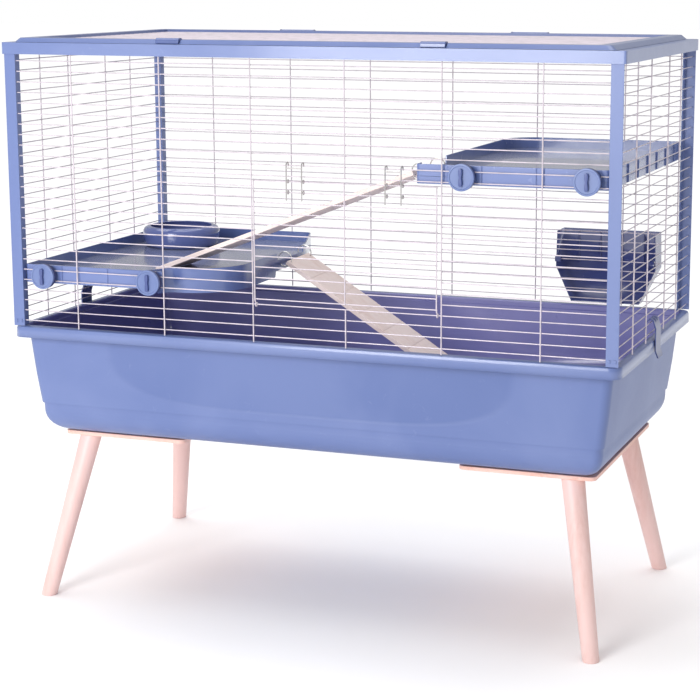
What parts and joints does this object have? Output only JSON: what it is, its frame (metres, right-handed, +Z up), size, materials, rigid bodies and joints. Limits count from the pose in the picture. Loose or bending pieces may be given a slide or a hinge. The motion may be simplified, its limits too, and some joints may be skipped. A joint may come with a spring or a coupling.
{
  "type": "hamster cage",
  "caption": "Wire hamster cage on a plastic tub with splayed wooden legs, a hinged roof lid, a front door, two platforms, ramps, a food bowl and a hay rack.",
  "frame": {"origin": "middle of the cage's bounding box on the floor", "axes": "+X to the cage's right, +Y to its back, +Z up; the front door is on -Y"},
  "size_m": [1.013, 0.5724, 0.9125],
  "materials": {
    "blue_plastic": "satin, moulded",
    "deep_blue_plastic": "gloss, moulded",
    "coated_wire": "smooth coated wire",
    "steel": "plated",
    "pink_wood": "satin varnish",
    "ramp_wood": "sealed, matt"
  },
  "bodies": {
    "base": {"tub": "blue_plastic", "leg_board_left": "pink_wood", "leg_board_right": "pink_wood", "leg_front_left": "pink_wood", "leg_front_right": "pink_wood", "leg_back_left": "pink_wood", "leg_back_right": "pink_wood", "leg_bolt_front_left": "steel", "leg_bolt_front_right": "steel", "leg_bolt_back_left": "steel", "leg_bolt_back_right": "steel", "board_screw_front_left": "steel", "board_screw_front_right": "steel", "board_screw_back_left": "steel", "board_screw_back_right": "steel"},
    "cage": {"roof_frame": "blue_plastic", "front_panel": "coated_wire", "back_panel": "coated_wire", "left_panel": "coated_wire", "right_panel": "coated_wire", "post_front_left": "blue_plastic", "post_front_right": "blue_plastic", "post_back_left": "blue_plastic", "post_back_right": "blue_plastic", "lower_platform": "blue_plastic", "upper_platform": "blue_plastic", "roof_hinge_pin_left": "steel", "roof_hinge_pin_right": "steel", "knob_collar_lower_left": "deep_blue_plastic", "knob_collar_lower_right": "deep_blue_plastic", "knob_collar_upper_left": "deep_blue_plastic", "knob_collar_upper_right": "deep_blue_plastic"},
    "roof_lid": {"roof_lid_frame": "blue_plastic", "roof_lid_grille": "coated_wire"},
    "roof_latch_left": {"roof_latch_left": "blue_plastic"},
    "roof_latch_right": {"roof_latch_right": "blue_plastic"},
    "front_door": {"front_door": "coated_wire"},
    "door_latch_left": {"door_latch_left": "coated_wire"},
    "door_latch_right": {"door_latch_right": "coated_wire"},
    "side_clip_left": {"side_clip_left": "deep_blue_plastic"},
    "side_clip_right": {"side_clip_right": "deep_blue_plastic"},
    "knob_lower_left": {"knob_lower_left": "blue_plastic"},
    "knob_lower_right": {"knob_lower_right": "blue_plastic"},
    "lower_ramp": {"lower_ramp": "ramp_wood", "lower_ramp_ring_front": "steel", "lower_ramp_ring_back": "steel"},
    "knob_upper_left": {"knob_upper_left": "blue_plastic"},
    "knob_upper_right": {"knob_upper_right": "blue_plastic"},
    "upper_ramp": {"upper_ramp": "ramp_wood", "upper_ramp_ring_front": "steel", "upper_ramp_ring_back": "steel"},
    "food_bowl": {"food_bowl": "deep_blue_plastic"},
    "hay_rack": {"hay_rack": "deep_blue_plastic"}
  },
  "joints": [
    {"name": "cage_lift", "type": "slide", "parent": "base", "child": "cage", "axis": [0, 0, 1], "range_m": [0, 0.25]},
    {"name": "roof_lid_hinge", "type": "hinge", "parent": "cage", "child": "roof_lid", "pos_m": [0, 0.23625, 0.9072], "axis": [-1, 0, 0], "range_deg": [0, 110]},
    {"name": "roof_latch_left_lift", "type": "hinge", "parent": "roof_lid", "child": "roof_latch_left", "pos_m": [-0.213, -0.25475, 0.9075], "axis": [-1, 0, 0], "range_deg": [0, 60]},
    {"name": "roof_latch_right_lift", "type": "hinge", "parent": "roof_lid", "child": "roof_latch_right", "pos_m": [0.213, -0.25475, 0.9075], "axis": [-1, 0, 0], "range_deg": [0, 60]},
    {"name": "front_door_hinge", "type": "hinge", "parent": "cage", "child": "front_door", "pos_m": [0, -0.26775, 0.5115], "axis": [1, 0, 0], "range_deg": [0, 120]},
    {"name": "door_latch_left_slide", "type": "slide", "parent": "front_door", "child": "door_latch_left", "axis": [0, 0, 1], "range_m": [0, 0.012]},
    {"name": "door_latch_right_slide", "type": "slide", "parent": "front_door", "child": "door_latch_right", "axis": [0, 0, 1], "range_m": [0, 0.012]},
    {"name": "side_clip_left_hinge", "type": "hinge", "parent": "cage", "child": "side_clip_left", "pos_m": [-0.4925, -0.02875, 0.4785], "axis": [0, 1, 0], "range_deg": [0, 70]},
    {"name": "side_clip_right_hinge", "type": "hinge", "parent": "cage", "child": "side_clip_right", "pos_m": [0.4925, -0.02875, 0.4785], "axis": [0, -1, 0], "range_deg": [0, 70]},
    {"name": "knob_lower_left_turn", "type": "hinge", "parent": "cage", "child": "knob_lower_left", "pos_m": [-0.436, -0.28225, 0.5363], "axis": [0, 1, 0], "range_deg": [0, 90]},
    {"name": "knob_lower_right_turn", "type": "hinge", "parent": "cage", "child": "knob_lower_right", "pos_m": [-0.25, -0.28225, 0.5363], "axis": [0, 1, 0], "range_deg": [0, 90]},
    {"name": "knob_upper_left_turn", "type": "hinge", "parent": "cage", "child": "knob_upper_left", "pos_m": [0.261, -0.28225, 0.7188], "axis": [0, 1, 0], "range_deg": [0, 90]},
    {"name": "knob_upper_right_turn", "type": "hinge", "parent": "cage", "child": "knob_upper_right", "pos_m": [0.448, -0.28225, 0.7188], "axis": [0, 1, 0], "range_deg": [0, 90]},
    {"name": "lower_ramp_hinge", "type": "hinge", "parent": "cage", "child": "lower_ramp", "pos_m": [-0.1345, 0.03025, 0.5415], "axis": [0, -1, 0], "range_deg": [0, 45]},
    {"name": "upper_ramp_hinge", "type": "hinge", "parent": "cage", "child": "upper_ramp", "pos_m": [0.1785, -0.18475, 0.72], "axis": [0, 1, 0], "range_deg": [0, 35]},
    {"name": "food_bowl_lift", "type": "slide", "parent": "cage", "child": "food_bowl", "axis": [0, 0, 1], "range_m": [0, 0.08]},
    {"name": "hay_rack_lift", "type": "slide", "parent": "cage", "child": "hay_rack", "axis": [0, 0, 1], "range_m": [0, 0.008]}
  ]
}
